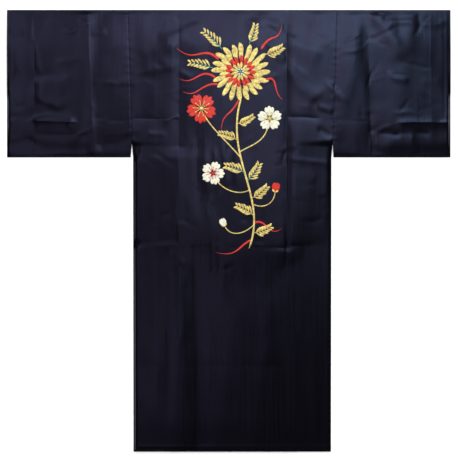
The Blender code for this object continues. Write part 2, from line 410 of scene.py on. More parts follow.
pucker = {
    "ditch": 0.00022,
    "ditchWidth": 0.0025,
    "gather": 0.00034,
    "gatherWidth": 0.009,
    "pitch": 0.023,        # from one gather to the next
    "uneven": (2.2, 31.0),         # how far that strays, in radians, and radians in a metre
    "small": (0.6, 507.0, 1.1),    # small gathers: share, radians in a metre, phase
    "start": 0.010,        # over which they grow at the shoulder
    "past": 0.010,         # how far they run on below the armhole
    "fade": 0.030,         # over which they fade there
    "shift": 0.013,        # so that both armholes differ
}


def armholePucker(across, down):
    # ditch of a sewn armhole with small gathers beside it
    near = np.abs(np.abs(across) - bodyHalf(np.minimum(down, garment["armhole"])))
    along = down + pucker["shift"] * np.sign(across)
    ditch = -pucker["ditch"] * np.exp(-(near / pucker["ditchWidth"]) ** 2)
    waver, waverTurn = pucker["uneven"]
    share, turn, phase = pucker["small"]
    waves = np.sin(2 * math.pi * along / pucker["pitch"] + waver * np.sin(along * waverTurn))
    waves = waves + share * np.sin(along * turn + phase)
    gathers = pucker["gather"] * waves * np.exp(-near / pucker["gatherWidth"])
    left = garment["armhole"] + pucker["past"] - down
    return (ditch + gathers) * smooth(left / pucker["fade"]) * smooth(down / pucker["start"])


plateau = {"half": 0.175, "edge": 0.050, "start": 0.060, "rise": 0.055}


def backPlateau(across, down):
    # the back lies on two layers in the middle and on one at the sides and near the neck
    middle = 1.0 - smooth((np.abs(across) - plateau["half"]) / plateau["edge"])
    return garment["layer"] * middle * smooth((down - plateau["start"]) / plateau["rise"])


# Where the wearer's left side edge changes, going down.
leftEdge = {
    "hollow": 0.430,       # start of the stretch that lies close
    "hollowing": 0.030,    # length of that change
    "beforeFold": 0.005,   # start of the next change, above the lower fold
    "lowering": 0.020,
    "blend": 0.020,        # width over which the right side's rise becomes the left one's
}


def sideRise(across, down, side):
    # the wearer's left side rolls up more steeply below the sleeve
    leftSide = smooth(0.5 - across / leftEdge["blend"])
    pastFold = (down - garment["lowerFold"] + leftEdge["beforeFold"]) / leftEdge["lowering"]
    lower = smooth(pastFold)
    hollow = smooth((down - leftEdge["hollow"]) / leftEdge["hollowing"]) * smooth(-pastFold)
    sides = (rises[place] for place in ("rightSide", "leftSide", "hollowSide", "lowerSide"))
    roll, share, rise = (
        blend(right, blend(blend(left, beside, hollow), under, lower), leftSide)
        for right, left, beside, under in zip(*sides)
    )
    return rollAndRise(side, roll, share, rise)


# The sewn allowances that show through: distance from the edge, width, height.
allowances = {"side": (0.011, 0.0022, 0.00035), "cuff": (0.012, 0.002, 0.0003)}


def allowanceRidge(distance, kind):
    inwards, width, height = allowances[kind]
    return height * np.exp(-((distance - inwards) / width) ** 2)


# How the outer faces settle at their edges.
settling = {
    "free": 0.016,         # folds fade out this near to a folded edge
    "sewnFree": 0.008,     # and this near to a sewn one
    "edge": 0.0006,        # a sewn edge keeps its pinched height up to here
    "seam": 0.008,         # and comes up to a seam's height over this length
    "sewing": 0.012,       # change from an open to a sewn edge, going down
    "early": 0.004,        # how far above the armhole's foot it starts
    "cuffSewing": 0.020,
    "hemStep": 0.002,
    "hemRise": 0.0004,
    "cuffChange": 0.160,   # length over which the cuff's slow rise changes
    "openCuff": (0.100, 0.240),
}


def backTop(across, down):
    # outer face of the back
    side = bodyHalf(down) - np.abs(across)
    foot = garment["length"] - down
    step = settling["hemStep"]
    belowArmhole = smooth((down - garment["armhole"] + settling["early"]) / settling["sewing"])
    rise = blend(1.0, sideRise(across, down, side), belowArmhole)
    rise = rise * rollAndRise(down, *rises["shoulder"]) * rollAndRise(foot, *rises["hem"])
    free = blend(1.0, smooth(side / settling["sewnFree"]), belowArmhole) * smooth(down / settling["free"])
    allowance = allowanceRidge(side, "side") * belowArmhole
    hem = settling["hemRise"] * smooth((garment["hem"] + step / 2 - foot) / step)
    sewn = smooth((side - settling["edge"]) / settling["seam"])
    held = blend(garment["pinched"], garment["edgeTop"], sewn)
    edge = blend(garment["edgeTop"], held, belowArmhole)
    top = edge + backPlateau(across, down) + upperFolds(across, down, rise, free)
    return np.maximum(top + allowance + hem + armholePucker(across, down), edge)


def sleeveTop(across, down, reach):
    # outer face of a sleeve's upper layer
    cuff = reach - np.abs(across)
    foot = garment["sleeveDepth"] - down
    sewnCuff = smooth((down - garment["wristOpening"]) / settling["cuffSewing"])
    closing = smooth((down - garment["wristOpening"]) / settling["cuffChange"] + 0.5)
    before, over = settling["openCuff"]
    openCuff = smooth((cuff + before) / over)
    rise = rollAndRise(down, *rises["shoulder"]) * rollAndRise(foot, *rises["sleeveFoot"])
    rise = rise * blend(openCuff, rollAndRise(cuff, *rises["cuff"]), closing)
    free = smooth(down / settling["free"]) * smooth(foot / settling["free"])
    free = free * blend(1.0, smooth(cuff / settling["sewnFree"]), sewnCuff)
    sewn = smooth((cuff - settling["edge"]) / settling["seam"])
    held = blend(garment["pinched"], garment["edgeTop"], sewn)
    edge = blend(garment["edgeTop"], held, sewnCuff)
    top = edge + upperFolds(across, down, rise, free) + allowanceRidge(cuff, "cuff")
    return np.maximum(top + armholePucker(across, down), edge)


# Making a sheet of cloth from a grid

nearEdge = [0.0006, 0.002, 0.004, 0.006, 0.008]      # stations of the upper layers beside an edge


def addObject(name, data):
    added = bpy.data.objects.new(name, data)
    bpy.context.collection.objects.link(added)
    return added


def layFlat(mesh, name, places):
    # a UV layer of the given name; places holds a pair of values for each point of the mesh
    corners = np.empty(len(mesh.loops), int)
    mesh.loops.foreach_get("vertex_index", corners)
    layer = mesh.uv_layers.new(name=name)
    layer.uv.foreach_set("vector", places[corners].astype(np.float32).ravel())


def clothSheet(name, node, across, down, height, facesUp, material, thickness):
    # a thin shell: across, down and height are arrays of one shape, a row for each line of points
    rows, columns = across.shape
    grid = bmesh.new()
    bmesh.ops.create_grid(grid, x_segments=columns - 1, y_segments=rows - 1, size=1.0)
    mesh = bpy.data.meshes.new(name)
    grid.to_mesh(mesh)
    grid.free()
    places = np.empty((rows * columns, 3))
    places[:, 0] = (across + garment["middle"]).ravel()
    places[:, 1] = (garment["shoulder"] - down).ravel()
    places[:, 2] = height.ravel()
    mesh.vertices.foreach_set("co", places.ravel())
    mesh.update()
    highest = max(mesh.polygons, key=lambda face: face.center.z)
    if (highest.normal.z > 0) != facesUp:
        mesh.flip_normals()
    mesh.shade_smooth()
    layFlat(mesh, "warp", np.stack([down.ravel(), across.ravel()], axis=1))    # along the warp first
    mesh.materials.append(material)
    sheet = addObject(name, mesh)
    wall = sheet.modifiers.new("cloth thickness", "SOLIDIFY")
    wall.thickness = thickness
    wall.offset = -1.0
    wall.use_even_offset = True
    sheet.modifiers.new("flat up to the rim", "WEIGHTED_NORMAL")
    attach(sheet, "root")
    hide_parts(node)
    return sheet


# Node groups shared by the materials

def newGroup(name, inputs):
    # a group that gives a colour, a roughness and a relief
    group = bpy.data.node_groups.new(name, "ShaderNodeTree")
    for socketName, kind, value in inputs:
        socket = group.interface.new_socket(name=socketName, in_out="INPUT", socket_type=kind)
        socket.default_value = value
    outputs = {"Colour": "NodeSocketColor", "Roughness": "NodeSocketFloat", "Height": "NodeSocketFloat"}
    for socketName, kind in outputs.items():
        group.interface.new_socket(name=socketName, in_out="OUTPUT", socket_type=kind)
    return group, group.nodes.new("NodeGroupInput"), group.nodes.new("NodeGroupOutput")


def mathNode(tree, operation, *values):
    # values are numbers or other nodes' outputs
    node = tree.nodes.new("ShaderNodeMath")
    node.operation = operation
    for socket, value in zip(node.inputs, values):
        if hasattr(value, "links"):
            tree.links.new(value, socket)
        else:
            socket.default_value = value
    return node.outputs[0]


def giveColour(group, colour, tone, result):
    # the colour, made lighter or darker by the tone
    scale = group.nodes.new("ShaderNodeVectorMath")
    scale.operation = "SCALE"
    group.links.new(colour, scale.inputs[0])
    group.links.new(tone, scale.inputs["Scale"])
    group.links.new(scale.outputs[0], result.inputs["Colour"])


def scaledNoise(tree, scale, detail, roughness):
    # noise in the garment's own metres, stretched by a scale for each axis
    place = tree.nodes.new("ShaderNodeTexCoord")
    stretch = tree.nodes.new("ShaderNodeMapping")
    stretch.inputs["Scale"].default_value = scale
    noise = tree.nodes.new("ShaderNodeTexNoise")
    noise.inputs["Scale"].default_value = 1.0
    noise.inputs["Detail"].default_value = detail
    noise.inputs["Roughness"].default_value = roughness
    tree.links.new(place.outputs["Object"], stretch.inputs["Vector"])
    tree.links.new(stretch.outputs["Vector"], noise.inputs["Vector"])
    return noise.outputs["Fac"]


# Layers of the satin's noise: scale across, along and up, detail, roughness, share of the relief.
satinNoise = {
    "broad": ((42.0, 1.1, 1.0), 2.0, 0.5, 0.70),
    "middle": ((150.0, 3.2, 1.0), 3.0, 0.6, 0.46),
    "fine": ((430.0, 9.0, 1.0), 4.0, 0.7, 0.20),
    "grain": ((1500.0, 1500.0, 300.0), 2.0, 0.6, 0.03),
    "patch": ((16.0, 12.0, 1.0), 4.0, 0.6, 0.70),
}
satinLook = {
    "streaks": (0.6, 0.4),         # shares of the middle and the fine noise
    "contrast": 5.0,
    "roughness": 0.27,
    "streakRoughness": 0.16,
    "patchRoughness": 0.07,
    "bump": 0.7,
    "bumpHeight": 0.0006,
    "shader": {
        "Specular IOR Level": 0.42,
        "Specular Tint": (0.48, 0.50, 1.0, 1.0),
        "Anisotropic": 0.5,
        "Sheen Weight": 0.02,
        "Sheen Roughness": 0.35,
        "Sheen Tint": (0.55, 0.5, 1.0, 1.0),
    },
}
threadLook = {
    "noise": ((140.0, 140.0, 140.0), 2.0, 0.6),
    "tones": (0.45, 1.1),          # shares of each thread's own tone and of the noise
    "meanTone": 0.775,
    "contrast": 2.4,
    "roughness": 0.30,
    "threadRoughness": 0.12,
    "bump": 0.5,
    "bumpHeight": 0.0001,
    "shader": {"Specular IOR Level": 0.5},
}


def makeSatinWeave():
    # long warp streaks, slubs and the fine grain of the weave
    inputs = [("Colour", "NodeSocketColor", (0.01, 0.01, 0.02, 1.0)), ("Streaks", "NodeSocketFloat", 0.3)]
    group, given, result = newGroup("satinWeave", inputs)
    layers = {}
    height = 0.0
    for name, (scale, detail, roughness, share) in satinNoise.items():
        layers[name] = scaledNoise(group, scale, detail, roughness)
        height = mathNode(group, "MULTIPLY_ADD", layers[name], share, height)
    group.links.new(height, result.inputs["Height"])
    middleShare, fineShare = satinLook["streaks"]
    streak = mathNode(group, "MULTIPLY", layers["middle"], middleShare)
    streak = mathNode(group, "MULTIPLY_ADD", layers["fine"], fineShare, streak)
    streak = mathNode(group, "SUBTRACT", streak, 0.5)
    tone = mathNode(group, "MULTIPLY", streak, given.outputs["Streaks"])
    tone = mathNode(group, "MULTIPLY_ADD", tone, satinLook["contrast"], 1.0)
    giveColour(group, given.outputs["Colour"], tone, result)
    rough = mathNode(group, "MULTIPLY_ADD", streak, satinLook["streakRoughness"], satinLook["roughness"])
    rough = mathNode(group, "MULTIPLY_ADD", layers["patch"], satinLook["patchRoughness"], rough)
    group.links.new(rough, result.inputs["Roughness"])
    return group


def makeSatinStitch():
    # threads that lie side by side across a patch, each a little different in tone
    group, given, result = newGroup(
        "satinStitch",
        [
            ("Colour", "NodeSocketColor", (0.5, 0.4, 0.1, 1.0)),
            ("Thread", "NodeSocketFloat", 0.0005),
            ("Variation", "NodeSocketFloat", 0.3),
        ],
    )
    flat = group.nodes.new("ShaderNodeUVMap")
    flat.uv_map = "threads"
    parts = group.nodes.new("ShaderNodeSeparateXYZ")
    group.links.new(flat.outputs["UV"], parts.inputs[0])
    count = mathNode(group, "DIVIDE", parts.outputs["Y"], given.outputs["Thread"])
    ridge = mathNode(group, "SINE", mathNode(group, "MULTIPLY", count, 2 * math.pi))
    group.links.new(ridge, result.inputs["Height"])
    oneThread = group.nodes.new("ShaderNodeTexWhiteNoise")
    oneThread.noise_dimensions = "1D"
    group.links.new(mathNode(group, "FLOOR", count), oneThread.inputs["W"])
    own = oneThread.outputs["Value"]
    ownShare, noiseShare = threadLook["tones"]
    tone = mathNode(group, "MULTIPLY", own, ownShare)
    tone = mathNode(group, "MULTIPLY_ADD", scaledNoise(group, *threadLook["noise"]), noiseShare, tone)
    tone = mathNode(group, "SUBTRACT", tone, threadLook["meanTone"])
    tone = mathNode(group, "MULTIPLY", tone, given.outputs["Variation"])
    tone = mathNode(group, "MULTIPLY_ADD", tone, threadLook["contrast"], 1.0)
    giveColour(group, given.outputs["Colour"], tone, result)
    rough = mathNode(group, "MULTIPLY_ADD", own, threadLook["threadRoughness"], threadLook["roughness"])
    group.links.new(rough, result.inputs["Roughness"])
    return group


satinWeave = makeSatinWeave()
satinStitch = makeSatinStitch()


def newMaterial(name, values):
    # a material with the given values of its shader
    material = bpy.data.materials.new(name)
    material.use_nodes = True
    shader = material.node_tree.nodes["Principled BSDF"]
    for socketName, value in values.items():
        shader.inputs[socketName].default_value = value
    return material, shader


def makeMaterial(name, group, values, look):
    # a material whose colour, roughness and relief come from a group
    material, shader = newMaterial(name, look["shader"])
    tree = material.node_tree
    surface = tree.nodes.new("ShaderNodeGroup")
    surface.node_tree = group
    for socketName, value in values.items():
        surface.inputs[socketName].default_value = value
    bump = tree.nodes.new("ShaderNodeBump")
    bump.inputs["Strength"].default_value = look["bump"]
    bump.inputs["Distance"].default_value = look["bumpHeight"]
    tree.links.new(surface.outputs["Colour"], shader.inputs["Base Color"])
    tree.links.new(surface.outputs["Roughness"], shader.inputs["Roughness"])
    tree.links.new(surface.outputs["Height"], bump.inputs["Height"])
    tree.links.new(bump.outputs["Normal"], shader.inputs["Normal"])
    return material, shader


def makeSatin(name, colour, streaks):
    # dark satin with a bluish gloss that runs with the warp
    values = {"Colour": (*colour, 1.0), "Streaks": streaks}
    material, shader = makeMaterial(name, satinWeave, values, satinLook)
    tree = material.node_tree
    along = tree.nodes.new("ShaderNodeTangent")
    along.direction_type = "UV_MAP"
    along.uv_map = "warp"
    tree.links.new(along.outputs["Tangent"], shader.inputs["Tangent"])
    return material


def makeThread(name, colour, metal, variation):
    values = {"Colour": (*colour, 1.0), "Variation": variation}
    material, shader = makeMaterial(name, satinStitch, values, threadLook)
    shader.inputs["Metallic"].default_value = metal
    return material


satin = makeSatin("navy satin", (0.0019, 0.0014, 0.0018), 0.5)
collarSatin = makeSatin("navy satin of the collar", (0.0034, 0.0030, 0.0044), 0.4)
threadMaterials = {
    "gold": makeThread("gold thread", (0.70, 0.545, 0.18), 0.3, 0.60),
    "red": makeThread("red thread", (0.52, 0.015, 0.006), 0.0, 0.3),
    "white": makeThread("white thread", (0.66, 0.645, 0.53), 0.0, 0.3),
    "teal": makeThread("teal thread", (0.03, 0.30, 0.30), 0.0, 0.3),
    "navy": makeThread("navy sewing thread", (0.006, 0.006, 0.016), 0.0, 0.3),
}
print("materials made")


# Back

backPiece = {
    "spacing": 0.0056,
    "rowSpacing": 0.0060,
    "straight": 0.23,      # nearer the middle than this the columns run straight down
    "wrap": 7,             # points round the shoulder edge
    "wrapTop": 0.0019,
    "wrapFoot": 0.0007,
    "wrapNear": [0.002, 0.006, 0.012],
    "wrapEase": 0.006,     # length over which the edge comes up to the open cloth's height
    "stepLines": [-0.110, 0.153],
}
leastColumn = 0.0005           # the least distance between columns of the upper layers


def makeBack():
    # the back, with its edge turned over at the shoulder
    half = garment["shoulderHalf"]
    straight = backPiece["straight"]
    lines = [-garment["sideFold"], garment["sideFold"]] + backPiece["stepLines"]
    marks = [mark for line in lines for mark in around(line)]
    marks += [side * (half - inwards) for side in (-1, 1) for inwards in nearEdge]
    stationsAcross = stations(-half, half, marks, backPiece["spacing"], leastColumn)
    marks = around(garment["upperFold"]) + around(garment["lowerFold"]) + backPiece["wrapNear"]
    marks += [garment["armhole"], garment["sleeveDepth"]]
    hemLine = garment["length"] - garment["hem"]
    marks += [hemLine - settling["hemStep"] / 2, hemLine + settling["hemStep"] / 2]
    radius = (backPiece["wrapTop"] - backPiece["wrapFoot"]) / 2
    rowsDown = stations(radius, garment["length"], marks, backPiece["rowSpacing"])
    turns = np.linspace(-0.5, 0.5, backPiece["wrap"])[:-1] * math.pi
    wrapDown = radius - radius * np.cos(turns)
    wrapHeight = backPiece["wrapFoot"] + radius + radius * np.sin(turns)
    down = np.concatenate([wrapDown, rowsDown])[:, None] * np.ones(len(stationsAcross))
    lean = (bodyHalf(down) - straight) / (half - straight)
    outside = np.maximum(np.abs(stationsAcross) - straight, 0.0)
    across = np.sign(stationsAcross) * (np.minimum(np.abs(stationsAcross), straight) + outside * lean)
    height = backTop(across, down)
    height -= (garment["edgeTop"] - backPiece["wrapTop"]) * (1.0 - smooth(down / backPiece["wrapEase"]))
    height[:len(wrapDown)] = wrapHeight[:, None]
    return clothSheet("back_cloth", "back", across, down, height, True, satin, garment["cloth"])


back = makeBack()
print("back made")


# Fronts, overlap panels and collar

collar = {
    "neckHalf": 0.090,
    "width": 0.055,
    "end": 0.640,
    "pastMiddle": 0.035,
    "bend": 1.25,
    "thick": 0.0009,
    "spacing": 0.012,
    "neckPoints": 15,
    "columns": 9,
    "start": 0.0004,       # from the shoulder fold
    "crown": 0.00035,      # height of its folded edges above its middle
    # waves along it: height, turn in a metre, shift from side to side, their own unevenness
    "wave": (0.00012, 61.0, 2.0, 1.4, 23.0),
}
overlap = {
    "tip": 0.200,          # where the overlap panels start
    "edge": 0.090,         # their free edge, past the middle
    "reach": 0.105,        # how far the upper front lies on the lower one
    "fall": 0.060,
    "climbStart": 0.120,
    "climbEnd": 0.200,
}
hiddenFold = 0.709             # the lower fold as it lies in the hidden layers
hidden = {
    "spacing": 0.010,
    "columns": 0.040,      # between a front's columns, as a share of its width
    "foldColumn": 0.42,    # where the side fold lies, as a share of that width
    "nearColumn": (0.020, 0.005),      # reach and step of the columns beside it
    "nearFold": (0.006, 0.003),        # the same for rows of points beside a fold
    "okumiColumns": 16,
    "okumiTip": 0.004,     # below the tip of the panel's outline
    "shoulder": 0.0004,
    "side": 0.0001,        # what a front stays back from the side seam
    "lapShare": 0.6,       # share of the folds' height that is left in a lap
    # each fold: place, width, share of the full height
    "foldsAcross": [
        (garment["upperFold"], 0.010, 1.0),
        (hiddenFold, 0.010, 1.0),
        (garment["hemFold"], 0.012, 0.7),
    ],
    "foldsDown": [(0.160, 0.008, 0.9)],
    "fold": 0.00055,       # full height of a fold
    "crossing": 1.2,       # most that folds make where they cross, in full heights
    "swell": 0.00022,
    "evenSwell": 0.002,    # the back's swells that this height stands for
    "swellShift": (1.3, 0.07),     # so that they differ from the back's
    "sideEase": 0.030,
    "ease": 0.020,
    "sleeveFoldsAcross": [(garment["upperFold"], 0.010, 1.0)],
    "sleeveFoldsDown": [(garment["sleeveFold"], 0.008, 0.8)],
    "sleeveLift": 0.0002,
    "sleeveHeight": 0.0005,        # full height of a fold in a sleeve
    "sleeveFrom": 0.310,   # from the middle, where a sleeve's lower layer starts to lift
}


def collarSeam(down):
    # distance of the collar seam from the middle, towards its own side
    travel = collar["neckHalf"] + collar["pastMiddle"]
    return collar["neckHalf"] - travel * (np.minimum(down, collar["end"]) / collar["end"]) ** collar["bend"]


def lapHeight(across, down):
    # the wearer's right front climbs over the left one under it
    reached = 1.0 - smooth((across - overlap["reach"]) / overlap["fall"])
    climb = smooth((down - overlap["climbStart"]) / (overlap["climbEnd"] - overlap["climbStart"]))
    return garment["layer"] * reached * climb


def pressedFolds(foldsAcross, foldsDown, across, down):
    # folds pressed through, where 1 is a full height
    folds = sum(share * np.exp(-np.abs(down - line) / width) for line, width, share in foldsAcross)
    folds = folds + sum(share * np.exp(-np.abs(across - line) / width) for line, width, share in foldsDown)
    return np.minimum(folds, hidden["crossing"])


def underFolds(across, down, side):
    # low creases of the hidden layers, which the surface under them presses nearly flat
    ease = hidden["ease"]
    edge = smooth((bodyHalf(down) - across) / hidden["sideEase"])
    edge = edge * inside(down, 0.0, garment["length"], ease)
    stretch, shift = hidden["swellShift"]
    swell = 0.5 + swellField(side * across * stretch + shift, down) / hidden["evenSwell"]
    pressed = pressedFolds(hidden["foldsAcross"], hidden["foldsDown"], across, down)
    return (hidden["swell"] * np.clip(swell, 0.0, 1.0) + hidden["fold"] * pressed) * edge


def makeFront(name, node, side):
    columns = around(hidden["foldColumn"], *hidden["nearColumn"])
    stationsAcross = stations(0.0, 1.0, columns, hidden["columns"])
    near = hidden["nearFold"]
    marks = around(garment["upperFold"], *near) + around(hiddenFold, *near) + [garment["armhole"]]
    rowsDown = stations(hidden["shoulder"], garment["length"], marks, hidden["spacing"])
    down = rowsDown[:, None] * np.ones(len(stationsAcross))
    inner = collarSeam(np.minimum(down, overlap["tip"])) + garment["seamGap"] / 2
    across = blend(inner, bodyHalf(down) - hidden["side"], stationsAcross[None, :])
    height = underFolds(across, down, side)
    if side > 0:
        height = height * hidden["lapShare"] + lapHeight(across, down)
    return clothSheet(name, node, side * across, down, height, False, satin, garment["cloth"])


def makeOkumi(name, node, side):
    # an overlap panel, pointed on the collar seam and free at its front edge
    top = overlap["tip"] + hidden["okumiTip"]
    foot = collar["end"] + garment["seamGap"]
    marks = around(hiddenFold, *hidden["nearFold"])
    upper = stations(top, foot, (), hidden["spacing"])
    lower = stations(foot + garment["seamGap"], garment["length"], marks, hidden["spacing"])
    share = np.linspace(0.0, 1.0, hidden["okumiColumns"])[None, :]
    down = np.concatenate([upper, lower])[:, None] * np.ones(share.shape)
    seam = collarSeam(overlap["tip"]) - garment["seamGap"] / 2
    edge = np.where(down <= foot, collarSeam(down) + garment["seamGap"] / 2, -overlap["edge"])
    across = blend(edge, seam, share)
    free = smooth((across + overlap["edge"]) / hidden["ease"]) * hidden["lapShare"]
    height = underFolds(np.abs(across), down, side) * free
    if side > 0:
        height = height + garment["layer"]
    return clothSheet(name, node, side * across, down, height, False, satin, garment["cloth"])


def makeCollar():
    # one folded band: up the wearer's left, behind the neck, and down the right
    branch = stations(0.0, collar["end"], (), collar["spacing"])
    neck = np.linspace(-1.0, 1.0, collar["neckPoints"] + 2)[1:-1]
    sides = np.concatenate([-np.ones(len(branch)), neck, np.ones(len(branch))])[:, None]
    downs = np.concatenate([branch[::-1], np.zeros(len(neck)), branch])[:, None]
    share = np.linspace(0.0, 1.0, collar["columns"])[None, :]
    innerDown = blend(collar["width"], collar["end"], downs / collar["end"])
    outer = collarSeam(downs) - garment["seamGap"] / 2
    inner = collarSeam(innerDown) - collar["width"]
    across = sides * blend(outer, inner, share)
    down = blend(downs + collar["start"], innerDown, share)
    crown = collar["crown"] * (1.0 - np.sin(math.pi * share) ** 0.5)
    height, turn, shift, waver, waverTurn = collar["wave"]
    wave = height * (1.0 + np.sin(downs * turn + sides * shift + waver * np.sin(downs * waverTurn)))
    lap = np.where(across > 0, lapHeight(across, down), 0.0)
    height = lap + crown + wave * share
    return clothSheet("collar_band", "collar", across, down, height, False, collarSatin, collar["thick"])


fronts = [
    makeFront("front_left_cloth", "front_left", -1),
    makeFront("front_right_cloth", "front_right", 1),
]
okumis = [
    makeOkumi("okumi_left_cloth", "okumi_left", -1),
    makeOkumi("okumi_right_cloth", "okumi_right", 1),
]
collarBand = makeCollar()
print("fronts, overlap panels and collar made")


# Sleeves

sleevePiece = {
    "spacing": 0.0044,
    "rowSpacing": 0.0048,
    "underSpacing": 0.012,
    "turn": 7,             # points round a fold, with its ends
    "foldTop": 0.0019,     # outer face of the upper layer beside the folds
    "foldEase": 0.006,     # length over which that comes up to the open cloth's height
    "nearFold": [0.003, 0.006, 0.012],
    "crease": 0.338,       # the creases across both sleeves, on average
    "straight": 0.36,      # further from the middle than this the columns run straight down
    "seamGap": 0.00005,    # from the body at the armhole
}
sleeves = [
    # foot is where the armhole side ends at the bottom, creases are those that run down
    {"name": "sleeve_left_cloth", "node": "sleeve_left", "side": -1, "reach": "leftReach",
     "foot": 0.305, "creases": [0.593, 0.424]},
    {"name": "sleeve_right_cloth", "node": "sleeve_right", "side": 1, "reach": "rightReach",
     "foot": 0.304, "creases": [0.410, 0.596]},
]


def sleeveUnder(across, down, reach):
    # lower layer of a sleeve: nearly flat, lifted a little by its pressed creases
    ease = hidden["ease"]
    inner = inside(across, hidden["sleeveFrom"], reach, ease)
    inner = inner * inside(down, 0.0, garment["sleeveDepth"], ease)
    pressed = pressedFolds(hidden["sleeveFoldsAcross"], hidden["sleeveFoldsDown"], across, down)
    return (hidden["sleeveLift"] + hidden["sleeveHeight"] * pressed) * inner


def sleeveSection():
    # the closed path round a sleeve, from its foot up the upper layer and down the lower one:
    # how far down each point lies, its height and its layer (1 upper, 2 lower, 0 in a fold)
    depth = garment["sleeveDepth"]
    radius = sleevePiece["foldTop"] / 2
    marks = around(sleevePiece["crease"]) + sleevePiece["nearFold"] + [garment["armhole"]]
    upper = stations(radius, depth - radius, marks, sleevePiece["rowSpacing"])
    marks = around(garment["upperFold"], *hidden["nearFold"]) + [garment["armhole"]]
    lower = stations(radius, depth - radius, marks, sleevePiece["underSpacing"])
    turns = np.linspace(0.0, 1.0, sleevePiece["turn"])[1:-1] * math.pi
    half = len(turns) // 2
    footDown = depth - radius + radius * np.sin(turns)
    fold = radius + radius * np.cos(turns)
    parts = [
        (footDown[:half + 1][::-1], fold[:half + 1][::-1], 0),
        (upper[::-1], np.full(len(upper), sleevePiece["foldTop"]), 1),
        (radius - radius * np.sin(turns), fold, 0),
        (lower, np.zeros(len(lower)), 2),
        (footDown[::-1][:half], radius - radius * np.cos(turns[:half]), 0),
    ]
    downs, heights = (np.concatenate([part[kind] for part in parts]) for kind in (0, 1))
    layer = np.repeat([part[2] for part in parts], [len(part[0]) for part in parts])
    return downs[:, None], heights[:, None], layer[:, None]


def makeSleeve(piece):
    # one length folded at the top and sewn at the foot, open at the armhole and at the wrist
    reach = garment[piece["reach"]]
    depth = garment["sleeveDepth"]
    start = garment["shoulderHalf"]
    side = piece["side"]
    marks = [mark for line in piece["creases"] for mark in around(line)]
    marks += [reach - inwards for inwards in nearEdge]
    stationsAcross = stations(start, reach, marks, sleevePiece["spacing"], leastColumn)
    downs, heights, layer = sleeveSection()
    even = np.ones(len(stationsAcross))
    down = downs * even
    sewn = sleevePiece["seamGap"]
    seam = [start + sewn, garment["underarmHalf"] + sewn, piece["foot"]]
    armhole = np.interp(down, [0.0, garment["armhole"], depth], seam)
    straight = sleevePiece["straight"]
    share = np.clip((stationsAcross - start) / (straight - start), 0.0, 1.0)
    across = np.where(stationsAcross < straight, blend(armhole, straight, share), stationsAcross)
    lifted = sleeveTop(side * across, down, reach)
    nearFold = 1.0 - smooth(np.minimum(down, depth - down) / sleevePiece["foldEase"])
    lifted -= (garment["edgeTop"] - sleevePiece["foldTop"]) * nearFold
    height = np.where(layer == 1, lifted, heights * even)
    height = np.where(layer == 2, sleeveUnder(across, down, reach), height)
    thickness = garment["cloth"]
    return clothSheet(piece["name"], piece["node"], side * across, down, height, True, satin, thickness)


for piece in sleeves:
    makeSleeve(piece)
print("sleeves made")


# Embroidery: satin stitch in raised patches that lie on the back

stitch = {
    "cross": 7,          # points across a patch
    "spacing": 0.0035,   # between the rows of points along a patch
    "crown": 0.0007,     # how far a patch swells above the cloth
    "sunk": 0.0001,      # how deep its edges sit in the cloth
    "tip": 0.0003,       # half the width that a pointed end keeps
    "rows": (5, 60),     # fewest and most rows of points along a patch
    "knotCrown": 1.6,    # a knot's height, in times the crown of a patch
}
stitched = {"gold": [], "red": [], "white": [], "teal": []}


def wobble(number, turn=1.0):
    # an uneven value from -1 to 1 that is the same on each run
    return math.sin(number * 12.9898 * turn + 4.1) * math.cos(number * 3.7 + turn)


def curvePoints(controls, count):
    # points on the Bezier curve of the given control points, and its direction at each
    share = np.linspace(0.0, 1.0, count)[:, None]
    points = [np.array(control, float)[None, :] * np.ones((count, 1)) for control in controls]
    direction = None
    while len(points) > 1:
        if len(points) == 2:
            direction = points[1] - points[0]
        points = [blend(first, second, share) for first, second in zip(points, points[1:])]
    return points[0], direction / np.linalg.norm(direction, axis=1)[:, None]


# Profiles of patches: half the width, as a share of the widest, at each share of the length.

def petalLike(share):
    return np.sin(math.pi * share ** 1.35) ** 0.62


def tapering(share):
    return (1.0 - share) ** 0.7 * smooth(share / 0.06 + 0.3)


def evenWidth(share):
    return inside(share, 0.0, 1.0, 0.05, 0.25)


def roundAbout(share):
    return np.sqrt(np.maximum(1.0 - (2.0 * share - 1.0) ** 2, 0.02))


def patch(colour, controls, halfWidth, profile, lift=0.0, crown=1.0):
    # one satin-stitch patch along a curve, kept for the piece of its colour
    controls = [np.array(control, float) for control in controls]
    length = sum(np.linalg.norm(second - first) for first, second in zip(controls, controls[1:]))
    fewest, most = stitch["rows"]
    count = max(fewest, min(most, round(length / stitch["spacing"]) + 1))
    centre, direction = curvePoints(controls, count)
    share = np.linspace(0.0, 1.0, count)
    half = np.maximum(halfWidth * profile(share), stitch["tip"])[:, None]
    side = np.linspace(-1.0, 1.0, stitch["cross"])[None, :]
    across = centre[:, :1] + direction[:, 1:] * half * side
    down = centre[:, 1:] - direction[:, :1] * half * side
    swell = stitch["crown"] * crown * np.sqrt(half / halfWidth)
    raised = lift - stitch["sunk"] + swell * np.sqrt(1.0 - side ** 2)
    travel = np.concatenate([[0.0], np.cumsum(np.linalg.norm(np.diff(centre, axis=0), axis=1))])
    stitched[colour].append((across, down, raised, side * half, travel[:, None] + 0.0 * side))


def knot(colour, centre, radius, lift=0.0):
    # a small round dome of thread
    start = (centre[0] - radius, centre[1])
    end = (centre[0] + radius, centre[1])
    patch(colour, [start, end], radius, roundAbout, lift, stitch["knotCrown"])


def polar(centre, radius, turn):
    return (centre[0] + radius * math.cos(turn), centre[1] + radius * math.sin(turn))


# Shapes of the flowers, leaves and buds. Angles are in radians and lifts are metres above the cloth.
# Lengths and widths of a flower or bud are shares of its size, and a leaf's darts of its half width.

